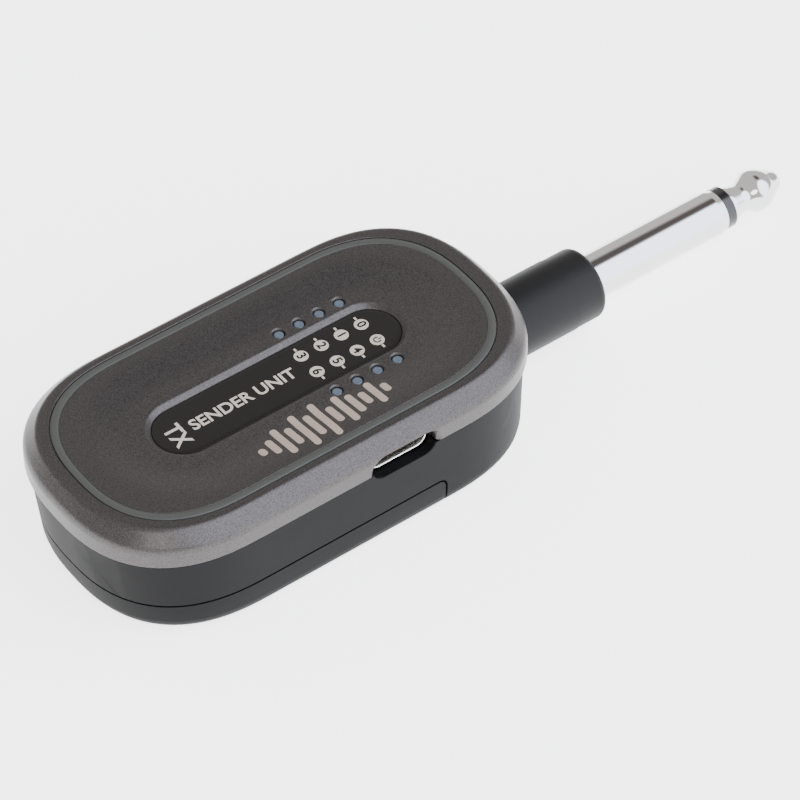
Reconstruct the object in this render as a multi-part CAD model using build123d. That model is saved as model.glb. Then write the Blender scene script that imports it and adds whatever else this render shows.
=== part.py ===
"""Wireless guitar transmitter: a rounded two-tone housing with a fold-out quarter-inch plug.

Millimetres. X runs along the plug, Y across the body and Z up. Everything is drawn about the
middle of the body, with z = 0 on the plug's axis, and saved with the origin at the plug's shoulder.
"""
from build123d import *
from math import copysign, cos, pi, sin
import os

# Housing outline: straight sides and superelliptic ends
HALF_LENGTH = 33.5
HALF_WIDTH = 17.7
END_RUN = 18.3
END_POWER = 2.5
END_STEPS = 10

# Levels above the plug's axis
FACE_Z = 12.95
SKIRT_TOP_Z = 10.8
SHELL_EDGE_Z = 8.0
SEAM_GAP = 0.42
ROOF_Z = 10.7
BOARD_Z = 8.05
BOARD_THICKNESS = 1.0
SPINE_Z = 6.8
COVER_Z = -0.35
COVER_GAP = 0.3
FLOOR_Z = -4.0
UNDER_Z = -5.6
WALL = 1.6
POD_WALL = 2.0
LIP = 0.85
LIP_GAP = 0.15
LIP_HEIGHT = 0.8
BEYOND = 60.0

# Top shell
FACE_INSET = 1.75
FACE_SIDE_INSET = 1.85
EDGE_RADIUS = 0.7
STRIPE_HALF_LENGTH = 29.3
STRIPE_HALF_WIDTH = 14.15
STRIPE_RUN = 15.0
STRIPE_SHIFT = -0.3
STRIPE_WIDTH = 1.0
STRIPE_DEPTH = 0.3
STRIPE_RELIEF = 0.14
DISH_DEPTH = 0.7
DISH_LEVELS = [(27.0, 12.8, 0.0), (25.0, 10.8, 0.17), (22.8, 8.6, 0.8), (21.2, 7.0, 1.0)]
BADGE_HALF_LENGTH = 18.3
BADGE_HALF_WIDTH = 4.05
BADGE_DEPTH = 1.3
BADGE_THICKNESS = 0.35
BADGE_GAP = 0.1
BADGE_BEVEL = 0.75

# Status lights
LIGHT_X = 4.6
LIGHT_PITCH = 3.13
LIGHT_ROW_Y = 6.23
LIGHTS_PER_ROW = 4
PIPE_RADIUS = 0.68
PIPE_HOLE_RADIUS = 0.75
PIPE_DISH_RADIUS = 1.05
PIPE_RECESS = 0.25
PIPE_BAR_HALF_WIDTH = 1.0
PIPE_BAR_OVERHANG = 1.3
PIPE_BAR_Z = (ROOF_Z - 0.9, ROOF_Z - 0.1)
LED_SIZE = (1.6, 0.8, 0.6)

# Lower housing and battery cover
LOWER_HALF_LENGTH = 33.1
LOWER_HALF_WIDTH = 17.3
LOWER_SHIFT = 0.05
UNDER_HALF_LENGTH = 32.3
UNDER_HALF_WIDTH = 17.2
UNDER_SHIFT = 0.6
UNDER_RADIUS = 2.5
BASE_STEPS = 5
COVER_END_X = 13.4
COVER_CORNER_RADIUS = 1.1
POD_INNER_Y = 6.7
HINGE_POD_INNER_Y = 7.6
HINGE_POD_X = 19.5

# Plug bay under the housing, stepped like the folded plug
PIVOT_X = 28.2
BAY_RADIUS = 5.4
BAY_STEP_X = 5.8
SHAFT_BAY_RADIUS = 3.6
BAY_END_X = -27.4
KNUCKLE_BAY_X = 22.8
KNUCKLE_BAY_Z = 5.3
SCOOP_X = -19.0
SCOOP_RADIUS = 8.0
SCOOP_DEPTH = 3.6

# Folding plug
KNUCKLE_RADIUS = 5.0
KNUCKLE_HALF_WIDTH = 5.0
KNUCKLE_FILLET = 0.4
ARM_TAPER_X = (31.2, 33.7)
ARM_TAPER_RADIUS = 4.6
ARM_RADIUS = 5.1
COLLAR_RADIUS = 5.02
COLLAR_START_X = 44.95
COLLAR_FILLET = 1.0
SHOULDER_X = 49.6
SHAFT_RADIUS = 3.175
NECK_RADIUS = 2.7
SLEEVE_BORE_RADIUS = 2.0
TIP_ROD_RADIUS = 1.1
COLLAR_LIP = 0.8
SHAFT_END_X = 70.95
RING_START_X = 72.05
RING_END_X = 73.45
RING_RADIUS = 2.95
TIP_GROOVE_X = 76.1
TIP_GROOVE_RADIUS = 1.95
TIP_BALL_X = 78.75
TIP_BALL_RADIUS = 2.975
TIP_CONE_X = 80.7
TIP_CONE_RADIUS = 2.25
TIP_END_X = 82.85
TIP_END_RADIUS = 0.55
SOCKET_X = 41.5
SOCKET_RADIUS = 3.6
WIRE_BORE_RADIUS = 2.2
PIN_RADIUS = 1.6
PIN_CLEARANCE = 0.05
PIN_INNER_Y = 2.6
PIN_BORE_RADIUS = 0.8
PIN_HEAD_RADIUS = 1.85
PIN_HEAD_LENGTH = 0.6
WASHER_RADIUS = 3.4
WASHER_GAP = (0.08, 0.02)
LUG_THICKNESS = 0.5
SLEEVE_LUG_RADIUS = 2.2
TIP_LUG_RADIUS = 1.7
LEAD_RADIUS = 0.6

# USB-C charging socket, in the near side across the seam
USB_X = 6.9
USB_Z = 8.3
USB_OPENING = (9.85, 3.9)
USB_SHELL = (8.94, 3.16)
USB_SHELL_WALL = 0.3
USB_FRONT_Y = -15.85
USB_LENGTH = 7.35
USB_TONGUE = (6.7, 0.7)
USB_BEVEL = 0.5
USB_FLARE = (1.6, 1.0)
USB_BASE_DEPTH = 1.2
USB_TONGUE_RECESS = 0.7
USB_CONTACT_SIZE = (0.26, 3.4, 0.06)
USB_CONTACT_PITCH = 0.5
USB_CONTACTS_PER_SIDE = 12

# Push buttons in the far side
BUTTON_X = {"power_button": -6.5, "channel_button": 6.5}
BUTTON_Z = 5.3
BUTTON_SIZE = (6.4, 2.6)
BUTTON_FLANGE = (7.6, 3.4)
BUTTON_FLANGE_THICKNESS = 0.6
BUTTON_FLANGE_Y = HALF_WIDTH - POD_WALL - 0.15 - BUTTON_FLANGE_THICKNESS
BUTTON_PROUD = 0.4
BUTTON_CLEARANCE = 0.15
SWITCH_GAP = 0.4
SWITCH_SIZE = (4.6, 2.0, 1.8)
PLUNGER_SIZE = (1.6, 0.8)
PLUNGER_LENGTH = 0.6
BUTTON_FILLET = 0.3

# Screws through the housing into the top shell
SCREW_PLACES = [(-24.5, 10.5), (-24.5, -10.5), (18.5, 11.7), (18.5, -11.7)]
POST_RADIUS = 2.6
RIB_HALF = 0.5
BOSS_RADIUS = 1.85
BOSS_END_Z = 6.4
SCREW_RADIUS = 0.8
SCREW_CLEARANCE_RADIUS = 0.95
SCREW_HEAD_RADIUS = 1.5
SCREW_HEAD_HEIGHT = 1.1
SCREW_SEAT_Z = -2.4
SCREW_TIP_Z = 10.0
COUNTERBORE_RADIUS = 1.7
RECESS_SIZE = (1.7, 0.4, 1.2)
RIB_TOP_Z = 5.8
RIB_Y = (6.2, 14.5)

# Battery
BATTERY_X = (-19.3, 11.2)
BATTERY_Y = (7.0, 15.4)
BATTERY_Z = (-3.85, 2.9)
BATTERY_FILLET = 1.6
BATTERY_TAB = (1.0, (9.0, 13.4), (0.7, 2.2))
FOAM_X = (-16.0, 9.0)
FOAM_Y = (8.6, 13.8)
FOAM_THICKNESS = 0.6
CONNECTOR_X = (12.9, 16.0)
CONNECTOR_Y = (7.3, 9.0)
CONNECTOR_HEIGHT = 2.0
BATTERY_LEAD_X = 14.4
BATTERY_LEAD_RADIUS = 0.4
BATTERY_LEAD_HALF_PITCH = 0.6

# Board: where each chip sits, then its length, width and height
BOARD_INSET = 3.1
BOARD_LEAD_X = 23.6
CHIPS = {
    "radio_chip": (-14.0, 0.0, 6.0, 6.0, 0.9),
    "audio_chip": (1.0, 1.0, 5.0, 5.0, 0.9),
    "charger_chip": (18.5, -4.0, 3.0, 3.0, 0.9),
    "chip_antenna": (-27.0, 0.0, 2.0, 6.5, 1.2),
}
SHIELD_X = (-21.0, -8.0)
SHIELD_HALF_WIDTH = 6.0
SHIELD_HEIGHT = 1.45
SHIELD_WALL = 0.25


def superellipse_end(half_length, half_width, run):
    """Points of the rounded end, from the far side round to the near side."""
    points = []
    for step in range(END_STEPS + 1):
        angle = pi / 2 - pi * step / END_STEPS
        across = abs(sin(angle)) ** (2 / END_POWER)
        along = abs(cos(angle)) ** (2 / END_POWER)
        points.append((half_length - run + run * along, copysign(half_width * across, sin(angle))))
    return points


def outline(half_length, half_width, run, z=0.0, shift=0.0):
    """The housing's plan shape as a face at height z, centred shift along X."""
    end = superellipse_end(half_length, half_width, run)
    right = [(shift + x, y) for x, y in end]
    left = [(shift - x, -y) for x, y in end]
    edges = [
        Spline(*right, tangents=[(1, 0), (-1, 0)]),
        Line(right[-1], left[0]),
        Spline(*left, tangents=[(-1, 0), (1, 0)]),
        Line(left[-1], right[0]),
    ]
    return Pos(0, 0, z) * make_face(Curve() + edges)


def inset_outline(inset, z=0.0):
    """The housing's plan shape drawn in by the same distance all round."""
    return outline(HALF_LENGTH - inset, HALF_WIDTH - inset, END_RUN - inset * 0.8, z)


def inset_block(inset, bottom_z, top_z):
    return extrude(inset_outline(inset, bottom_z), top_z - bottom_z)


def slot_face(half_length, half_width, z):
    return Pos(0, 0, z) * SlotOverall(2 * half_length, 2 * half_width)


def block(x_range, y_range, z_range):
    """A plain block between two corners, used for pockets and board components."""
    size = [high - low for low, high in (x_range, y_range, z_range)]
    middle = [(low + high) / 2 for low, high in (x_range, y_range, z_range)]
    return Pos(*middle) * Box(*size)


def post(x, y, radius, bottom_z, top_z):
    return Pos(x, y, (bottom_z + top_z) / 2) * Cylinder(radius, top_z - bottom_z)


def rod_x(radius, start_x, end_x):
    return Pos((start_x + end_x) / 2, 0, 0) * Rot(0, 90, 0) * Cylinder(radius, end_x - start_x)


def rod_y(x, radius, start_y, end_y):
    return Pos(x, (start_y + end_y) / 2, 0) * Rot(90, 0, 0) * Cylinder(radius, end_y - start_y)


def side_slot(x, z, size, start_y, end_y):
    """A round-ended bar across the body, for openings and buttons in the long sides."""
    sketch = Plane(origin=(x, start_y, z), x_dir=(1, 0, 0), z_dir=(0, 1, 0)) * SlotOverall(*size)
    return extrude(sketch, end_y - start_y, dir=(0, 1, 0))


# ---------------------------------------------------------------- top shell

def usb_opening():
    """The flared mouth for the cable's plug, cut through both housings."""
    width, height = USB_OPENING
    hole = side_slot(USB_X, USB_Z, USB_OPENING, -HALF_WIDTH - 1, USB_FRONT_Y + 1.2)
    mouth_y = -HALF_WIDTH - 0.3
    throat_y = -HALF_WIDTH + USB_BEVEL
    mouth_plane = Plane(origin=(USB_X, mouth_y, USB_Z), x_dir=(1, 0, 0), z_dir=(0, 1, 0))
    throat_plane = Plane(origin=(USB_X, throat_y, USB_Z), x_dir=(1, 0, 0), z_dir=(0, 1, 0))
    mouth = mouth_plane * SlotOverall(width + USB_FLARE[0], height + USB_FLARE[1])
    throat = throat_plane * SlotOverall(width, height)
    return hole + loft([mouth, throat], ruled=True)


def face_dish():
    """The shallow valley round the badge, whose slope eases in and out."""
    sections = [slot_face(length, width, FACE_Z - share * DISH_DEPTH) for length, width, share in DISH_LEVELS]
    return loft(sections, ruled=True)


def badge_pocket():
    """The pill-shaped recess that the badge plate drops into, with a bevelled rim."""
    def level(margin, z):
        return slot_face(BADGE_HALF_LENGTH + margin, BADGE_HALF_WIDTH + margin, z)
    floor, rim = level(BADGE_GAP, FACE_Z - BADGE_DEPTH), level(BADGE_BEVEL, FACE_Z - DISH_DEPTH)
    bevel = loft([floor, rim], ruled=True)
    seat = extrude(level(BADGE_GAP, FACE_Z - BADGE_DEPTH - BADGE_THICKNESS), BADGE_THICKNESS)
    return bevel + seat


def stripe_ring(inner, outer, bottom_z, top_z):
    """A band that follows the stripe's line, between two offsets from it."""
    def band(offset):
        face = outline(STRIPE_HALF_LENGTH + offset, STRIPE_HALF_WIDTH + offset, STRIPE_RUN + offset,
                       bottom_z, STRIPE_SHIFT)
        return extrude(face, top_z - bottom_z)
    return band(outer) - band(inner)


def light_places():
    """Centre of each status light: four in a row on each side of the badge."""
    for side in (1, -1):
        for index in range(LIGHTS_PER_ROW):
            yield LIGHT_X + index * LIGHT_PITCH, side * LIGHT_ROW_Y


def light_hole(x, y):
    surface_z = FACE_Z - DISH_DEPTH
    depth = PIPE_DISH_RADIUS - PIPE_HOLE_RADIUS
    hole = post(x, y, PIPE_HOLE_RADIUS, ROOF_Z - 0.5, surface_z + 0.2)
    dish = Pos(x, y, surface_z - depth / 2) * Cone(PIPE_HOLE_RADIUS, PIPE_DISH_RADIUS, depth)
    return hole + dish


def make_top_shell():
    skirt = extrude(inset_outline(0, SHELL_EDGE_Z), SKIRT_TOP_Z - SHELL_EDGE_Z)
    face = outline(HALF_LENGTH - FACE_INSET, HALF_WIDTH - FACE_SIDE_INSET, END_RUN - FACE_INSET, FACE_Z)
    chamfer_ring = loft([inset_outline(0, SKIRT_TOP_Z), face], ruled=True)
    shell = skirt + chamfer_ring
    rims = [edge for edge in shell.edges() if edge.center().Z > SKIRT_TOP_Z - 0.01 and
            abs(edge.bounding_box().size.Z) < 0.01]
    shell = fillet(rims, EDGE_RADIUS)
    shell -= inset_block(WALL, SHELL_EDGE_Z - 1, ROOF_Z)
    shell -= face_dish()
    shell -= badge_pocket()
    half = STRIPE_WIDTH / 2
    shell -= stripe_ring(-half, half + STRIPE_RELIEF, FACE_Z - STRIPE_DEPTH, FACE_Z + 1)
    for x, y in light_places():
        shell -= light_hole(x, y)
    for x, y in SCREW_PLACES:
        shell += post(x, y, BOSS_RADIUS, BOSS_END_Z, ROOF_Z)
        shell -= post(x, y, SCREW_RADIUS, BOSS_END_Z - 1, SCREW_TIP_Z + 0.2)
    return shell - usb_opening()


def make_face_stripe():
    half = STRIPE_WIDTH / 2
    return stripe_ring(-half, half, FACE_Z - STRIPE_DEPTH, FACE_Z - 0.03)


def make_badge_plate():
    bottom_z = FACE_Z - BADGE_DEPTH - BADGE_THICKNESS
    return extrude(slot_face(BADGE_HALF_LENGTH, BADGE_HALF_WIDTH, bottom_z), BADGE_THICKNESS)


def make_light_pipes(side):
    """Four clear pins on a common bar, pushed up into the shell from inside."""
    last_x = LIGHT_X + (LIGHTS_PER_ROW - 1) * LIGHT_PITCH
    row_y = side * LIGHT_ROW_Y
    bar = block((LIGHT_X - PIPE_BAR_OVERHANG, last_x + PIPE_BAR_OVERHANG),
                (row_y - PIPE_BAR_HALF_WIDTH, row_y + PIPE_BAR_HALF_WIDTH), PIPE_BAR_Z)
    for x, y in light_places():
        if y == row_y:
            bar += post(x, y, PIPE_RADIUS, PIPE_BAR_Z[0], FACE_Z - DISH_DEPTH - PIPE_RECESS)
    return bar


# ---------------------------------------------------------------- lower housing and cover

def lower_level(z, inset=0.0):
    """Plan of the lower housing at height z, whose ends lean in towards the base."""
    top_z = SHELL_EDGE_Z - SEAM_GAP
    share = (top_z - z) / (top_z - UNDER_Z)
    half_length = LOWER_HALF_LENGTH + share * (UNDER_HALF_LENGTH - LOWER_HALF_LENGTH)
    half_width = LOWER_HALF_WIDTH + share * (UNDER_HALF_WIDTH - LOWER_HALF_WIDTH)
    shift = LOWER_SHIFT + share * (UNDER_SHIFT - LOWER_SHIFT)
    return outline(half_length - inset, half_width - inset, END_RUN - inset * 0.8, z, shift)


def lower_block():
    """Outer form of both lower mouldings: leaning ends and a rounded base edge."""
    wall = loft([lower_level(UNDER_Z + UNDER_RADIUS), lower_level(SHELL_EDGE_Z - SEAM_GAP)], ruled=True)
    rounding = []
    for step in range(BASE_STEPS + 1):
        angle = pi / 2 * step / BASE_STEPS
        z = UNDER_Z + UNDER_RADIUS * (1 - cos(angle))
        rounding.append(lower_level(z, UNDER_RADIUS * (1 - sin(angle))))
    return wall + loft(rounding, ruled=True)


def cover_zone(gap):
    """Space under the cover seam, whose right end turns down through a round corner."""
    zone = block((-BEYOND, COVER_END_X + gap), (-BEYOND, BEYOND), (-BEYOND, COVER_Z + gap))
    corner = zone.edges().filter_by(Axis.Y).sort_by(lambda edge: edge.center().X + edge.center().Z)[-1]
    return fillet(corner, COVER_CORNER_RADIUS + gap)


def bay_part(radius, start_x, end_x):
    """A channel with a round roof, open downwards."""
    below = block((start_x, end_x), (-radius, radius), (UNDER_Z - 5, 0))
    return rod_x(radius, start_x, end_x) + below


def plug_bay():
    knuckle_space = block((KNUCKLE_BAY_X, 40), (-BAY_RADIUS, BAY_RADIUS), (UNDER_Z - 5, KNUCKLE_BAY_Z))
    shaft_space = bay_part(SHAFT_BAY_RADIUS, BAY_END_X, BAY_STEP_X + 1)
    scoop_z = UNDER_Z - SCOOP_RADIUS + SCOOP_DEPTH
    scoop = Pos(SCOOP_X, 0, scoop_z) * Sphere(SCOOP_RADIUS)
    return bay_part(BAY_RADIUS, BAY_STEP_X, KNUCKLE_BAY_X + 1) + knuckle_space + shaft_space + scoop


def pods(start_x, end_x, bottom_z):
    """Hollow spaces on each side of the plug bay."""
    space = inset_block(POD_WALL, bottom_z, SHELL_EDGE_Z + 2)
    side = block((start_x, min(end_x, HINGE_POD_X)), (POD_INNER_Y, BEYOND), (-BEYOND, BEYOND))
    if end_x > HINGE_POD_X:
        side += block((start_x, end_x), (HINGE_POD_INNER_Y, BEYOND), (-BEYOND, BEYOND))
    return space & (side + mirror(side, Plane.XZ))


def button_window(name, flange):
    size = [value + 2 * BUTTON_CLEARANCE for value in BUTTON_SIZE]
    return side_slot(BUTTON_X[name], BUTTON_Z, size, flange, HALF_WIDTH + 2)


def make_mid_housing():
    top_z = SHELL_EDGE_Z - SEAM_GAP
    housing = lower_block()
    lip = inset_block(WALL + LIP_GAP, top_z - 0.5, SHELL_EDGE_Z + LIP_HEIGHT)
    housing += lip - inset_block(WALL + LIP_GAP + LIP, top_z - 1, SHELL_EDGE_Z + 2)
    housing -= inset_block(WALL + LIP_GAP + LIP, SPINE_Z, SHELL_EDGE_Z + 2)
    housing -= cover_zone(COVER_GAP) & lower_block()
    housing -= pods(-29.0, 31.0, COVER_Z - 1)
    housing -= pods(COVER_END_X + 2, 31.0, FLOOR_Z)
    for x, y in SCREW_PLACES:
        bottom_z = COVER_Z + COVER_GAP if x < COVER_END_X else UNDER_Z
        housing += post(x, y, POST_RADIUS, bottom_z, BOARD_Z)
        rib_y = sorted(copysign(reach, y) for reach in RIB_Y)
        housing += block((x - RIB_HALF, x + RIB_HALF), rib_y, (bottom_z, RIB_TOP_Z))
        housing -= post(x, y, BOSS_RADIUS + 0.05, BOSS_END_Z, BOARD_Z + 1)
        housing -= post(x, y, SCREW_CLEARANCE_RADIUS, UNDER_Z - 1, BOSS_END_Z + 1)
        housing -= post(x, y, COUNTERBORE_RADIUS, UNDER_Z - 1, SCREW_SEAT_Z)
    housing -= plug_bay()
    housing -= rod_y(PIVOT_X, PIN_RADIUS, -HINGE_POD_INNER_Y - 1, HINGE_POD_INNER_Y + 1)
    for name in BUTTON_X:
        housing -= button_window(name, BUTTON_FLANGE_Y)
    return housing - usb_opening()


def make_bottom_cover():
    cover = lower_block() & cover_zone(0)
    cover -= pods(BATTERY_X[0] - 0.4, COVER_END_X - 1.2, FLOOR_Z)
    for x, y in SCREW_PLACES[:2]:
        cover -= post(x, y, SCREW_CLEARANCE_RADIUS, UNDER_Z - 1, COVER_Z + 1)
        cover -= post(x, y, COUNTERBORE_RADIUS, UNDER_Z - 1, SCREW_SEAT_Z)
    return cover - plug_bay()


def make_case_screws():
    """Four long screws, each with a cross recess in its pan head."""
    screws = []
    for x, y in SCREW_PLACES:
        head = post(x, y, SCREW_HEAD_RADIUS, SCREW_SEAT_Z - SCREW_HEAD_HEIGHT, SCREW_SEAT_Z)
        head = chamfer(head.edges().group_by(Axis.Z)[0], 0.35)
        shank = post(x, y, SCREW_RADIUS, SCREW_SEAT_Z, SCREW_TIP_Z)
        bottom = Pos(x, y, SCREW_SEAT_Z - SCREW_HEAD_HEIGHT)
        cross = bottom * Box(*RECESS_SIZE) + bottom * Rot(0, 0, 90) * Box(*RECESS_SIZE)
        screws.append(head + shank - cross)
    return Compound(children=screws)


# ---------------------------------------------------------------- folding plug

def make_plug_arm():
    """Knuckle and round arm in one moulding, bored for the pins and the signal lead."""
    knuckle = rod_y(PIVOT_X, KNUCKLE_RADIUS, -KNUCKLE_HALF_WIDTH, KNUCKLE_HALF_WIDTH)
    knuckle = fillet(knuckle.edges().filter_by(GeomType.CIRCLE), KNUCKLE_FILLET)
    start_x, end_x = ARM_TAPER_X
    taper = loft([Plane(origin=(start_x, 0, 0), z_dir=(1, 0, 0)) * Circle(ARM_TAPER_RADIUS),
                  Plane(origin=(end_x, 0, 0), z_dir=(1, 0, 0)) * Circle(ARM_RADIUS)])
    arm = knuckle + taper + rod_x(ARM_RADIUS, end_x, COLLAR_START_X)
    arm -= rod_y(PIVOT_X, PIN_RADIUS + PIN_CLEARANCE, -BEYOND, BEYOND)
    arm -= rod_x(WIRE_BORE_RADIUS, PIVOT_X, SOCKET_X)
    return arm - rod_x(SOCKET_RADIUS, SOCKET_X, COLLAR_START_X + 1)


def make_plug_collar():
    """Ring moulded round the sleeve's neck; its end face is the plug's shoulder."""
    collar = rod_x(COLLAR_RADIUS, COLLAR_START_X, SHOULDER_X)
    collar = fillet(collar.edges().sort_by(Axis.X)[-1], COLLAR_FILLET)
    collar -= rod_x(SOCKET_RADIUS, COLLAR_START_X - 1, SHOULDER_X - COLLAR_LIP)
    return collar - rod_x(NECK_RADIUS, COLLAR_START_X, SHOULDER_X + 1)


def make_plug_sleeve():
    """Ground contact: a stepped tube that tapers towards the insulating ring."""
    profile = Polyline(
        (SOCKET_X, SLEEVE_BORE_RADIUS), (SOCKET_X, SOCKET_RADIUS), (SHOULDER_X - COLLAR_LIP, SOCKET_RADIUS),
        (SHOULDER_X - COLLAR_LIP, NECK_RADIUS), (SHOULDER_X, NECK_RADIUS),
        (SHOULDER_X, SHAFT_RADIUS), (SHAFT_END_X, SHAFT_RADIUS), (RING_START_X, RING_RADIUS),
        (RING_START_X, SLEEVE_BORE_RADIUS), close=True)
    return revolve(make_face(profile), Axis.X)


def make_plug_insulator():
    start_x = SOCKET_X - LUG_THICKNESS
    profile = Polyline(
        (start_x, TIP_ROD_RADIUS), (start_x, SLEEVE_BORE_RADIUS), (RING_START_X, SLEEVE_BORE_RADIUS),
        (RING_START_X, RING_RADIUS), (RING_END_X, RING_RADIUS), (RING_END_X, TIP_ROD_RADIUS), close=True)
    return revolve(make_face(profile), Axis.X)


def make_plug_tip():
    """Tip contact: centre rod, waist, ball and blunt cone, turned from one bar."""
    rod = Polyline((TIP_GROOVE_X, TIP_GROOVE_RADIUS), (RING_END_X + 0.35, 2.6), (RING_END_X, 2.6),
                   (RING_END_X, TIP_ROD_RADIUS), (SOCKET_X - 2, TIP_ROD_RADIUS), (SOCKET_X - 2, 0),
                   (TIP_END_X, 0), (TIP_END_X, TIP_END_RADIUS))
    nose = ThreePointArc((TIP_END_X, TIP_END_RADIUS), (TIP_END_X - 0.25, TIP_END_RADIUS + 0.55),
                         (TIP_END_X - 0.7, TIP_END_RADIUS + 0.95))
    cone = Line(nose @ 1, (TIP_CONE_X, TIP_CONE_RADIUS))
    ball = ThreePointArc(cone @ 1, (TIP_BALL_X + 0.6, TIP_BALL_RADIUS - 0.11), (TIP_BALL_X, TIP_BALL_RADIUS))
    waist = Spline(ball @ 1, (TIP_GROOVE_X + 1.2, 2.42), (TIP_GROOVE_X, TIP_GROOVE_RADIUS),
                   tangents=[(-1, 0), (-1, 0)])
    return revolve(make_face(Curve() + [rod, nose, cone, ball, waist]), Axis.X)


def make_plug_lugs():
    """Solder washers at the back of the plug: one on the sleeve and one on the tip's rod."""
    sleeve_x = SOCKET_X - LUG_THICKNESS
    tip_x = sleeve_x - 0.8
    sleeve_lug = rod_x(SLEEVE_LUG_RADIUS, sleeve_x, SOCKET_X) - rod_x(SLEEVE_BORE_RADIUS, sleeve_x, SOCKET_X)
    tip_lug = rod_x(TIP_LUG_RADIUS, tip_x, tip_x + LUG_THICKNESS)
    tip_lug -= rod_x(TIP_ROD_RADIUS, tip_x, tip_x + LUG_THICKNESS)
    return Compound(children=[sleeve_lug, tip_lug])


def lead(points, radius, bend):
    """A round lead along straight runs joined by one-radius bends."""
    path = FilletPolyline(*points, radius=bend)
    section = Plane(origin=path @ 0, z_dir=path % 0) * Circle(radius)
    return sweep(section, path=path)


def make_plug_lead():
    return lead([(SOCKET_X - 2, 0, 0), (PIVOT_X, 0, 0), (PIVOT_X, 2.4, 0)], LEAD_RADIUS, 2.0)


def make_board_lead():
    end_y = HINGE_POD_INNER_Y + 1.9
    knee_z = 4.5
    return lead([(PIVOT_X, 2.7, 0), (PIVOT_X, end_y, 0), (PIVOT_X, end_y, knee_z),
                 (BOARD_LEAD_X, end_y, knee_z), (BOARD_LEAD_X, end_y, BOARD_Z)], LEAD_RADIUS, 1.4)


def make_hinge_pin(side, hollow):
    """Headed pin pressed in from the pod; the far one is hollow for the signal lead."""
    shank = rod_y(PIVOT_X, PIN_RADIUS, PIN_INNER_Y, HINGE_POD_INNER_Y)
    head = rod_y(PIVOT_X, PIN_HEAD_RADIUS, HINGE_POD_INNER_Y, HINGE_POD_INNER_Y + PIN_HEAD_LENGTH)
    pin = shank + head
    if hollow:
        pin -= rod_y(PIVOT_X, PIN_BORE_RADIUS, 0, BEYOND)
    return pin if side > 0 else mirror(pin, Plane.XZ)


def make_friction_washers():
    """Thin washers that hold the arm at any angle."""
    washers = []
    for side in (1, -1):
        low, high = sorted((side * (KNUCKLE_HALF_WIDTH + WASHER_GAP[0]), side * (BAY_RADIUS - WASHER_GAP[1])))
        washers.append(rod_y(PIVOT_X, WASHER_RADIUS, low, high) - rod_y(PIVOT_X, PIN_RADIUS, low, high))
    return Compound(children=washers)


# ---------------------------------------------------------------- board and components

def make_main_board():
    board = inset_block(BOARD_INSET, BOARD_Z, BOARD_Z + BOARD_THICKNESS)
    for x, y in SCREW_PLACES:
        board -= post(x, y, BOSS_RADIUS + 0.15, BOARD_Z - 1, BOARD_Z + 2)
    half = USB_SHELL[0] / 2 + 0.15
    notch_end_y = USB_FRONT_Y + USB_LENGTH + 0.15
    return board - block((USB_X - half, USB_X + half), (-BEYOND, notch_end_y), (0, BEYOND))


def make_usb_shell():
    back_y = USB_FRONT_Y + USB_LENGTH
    inner = [value - 2 * USB_SHELL_WALL for value in USB_SHELL]
    shell = side_slot(USB_X, USB_Z, USB_SHELL, USB_FRONT_Y, back_y)
    shell -= side_slot(USB_X, USB_Z, inner, USB_FRONT_Y - 1, back_y - USB_SHELL_WALL)
    return shell


def make_usb_tongue():
    """Moulded base at the back of the socket with the contact tongue on it."""
    back_y = USB_FRONT_Y + USB_LENGTH - USB_SHELL_WALL
    inner = [value - 2 * USB_SHELL_WALL for value in USB_SHELL]
    base = side_slot(USB_X, USB_Z, inner, back_y - USB_BASE_DEPTH, back_y)
    width, height = USB_TONGUE
    tongue = block((USB_X - width / 2, USB_X + width / 2),
                   (USB_FRONT_Y + USB_TONGUE_RECESS, back_y - USB_BASE_DEPTH),
                   (USB_Z - height / 2, USB_Z + height / 2))
    return base + tongue


def make_usb_contacts():
    """Contact strips in a row on the top of the tongue and another on its bottom."""
    width, length, height = USB_CONTACT_SIZE
    middle_y = USB_FRONT_Y + USB_BASE_DEPTH + length / 2
    rise = USB_TONGUE[1] / 2 + height / 2
    strips = []
    for index in range(USB_CONTACTS_PER_SIDE):
        x = USB_X + (index - (USB_CONTACTS_PER_SIDE - 1) / 2) * USB_CONTACT_PITCH
        for side in (1, -1):
            strips.append(Pos(x, middle_y, USB_Z + side * rise) * Box(width, length, height))
    return Compound(children=strips)


def make_status_leds():
    z = BOARD_Z + BOARD_THICKNESS + LED_SIZE[2] / 2
    return Compound(children=[Pos(x, y, z) * Box(*LED_SIZE) for x, y in light_places()])


def make_rf_shield():
    """Drawn steel can over the radio, open downwards."""
    top_z = BOARD_Z + BOARD_THICKNESS
    def can(inset, bottom_z):
        half = SHIELD_HALF_WIDTH - inset
        return block((SHIELD_X[0] + inset, SHIELD_X[1] - inset), (-half, half),
                     (bottom_z, top_z + SHIELD_HEIGHT - inset))
    outer = can(0, top_z)
    outer = fillet(outer.edges().filter_by(Axis.Z) + outer.edges().group_by(Axis.Z)[-1], 0.4)
    return outer - can(SHIELD_WALL, top_z - 1)


def chip(x, y, width, depth, height):
    top_z = BOARD_Z + BOARD_THICKNESS
    body = block((x - width / 2, x + width / 2), (y - depth / 2, y + depth / 2), (top_z, top_z + height))
    return chamfer(body.edges().group_by(Axis.Z)[-1], 0.1)


def make_side_switches():
    """Side-pushed tactile switches under the board's far edge, one behind each button."""
    switches = []
    plunger_y = BUTTON_FLANGE_Y - SWITCH_GAP
    for x in BUTTON_X.values():
        face_y = plunger_y - PLUNGER_LENGTH
        width, depth, height = SWITCH_SIZE
        body = block((x - width / 2, x + width / 2), (face_y - depth, face_y), (BOARD_Z - height, BOARD_Z))
        plunger = side_slot(x, BOARD_Z - 1.3, PLUNGER_SIZE, face_y, plunger_y)
        switches.append(body + plunger)
    return Compound(children=switches)


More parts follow.
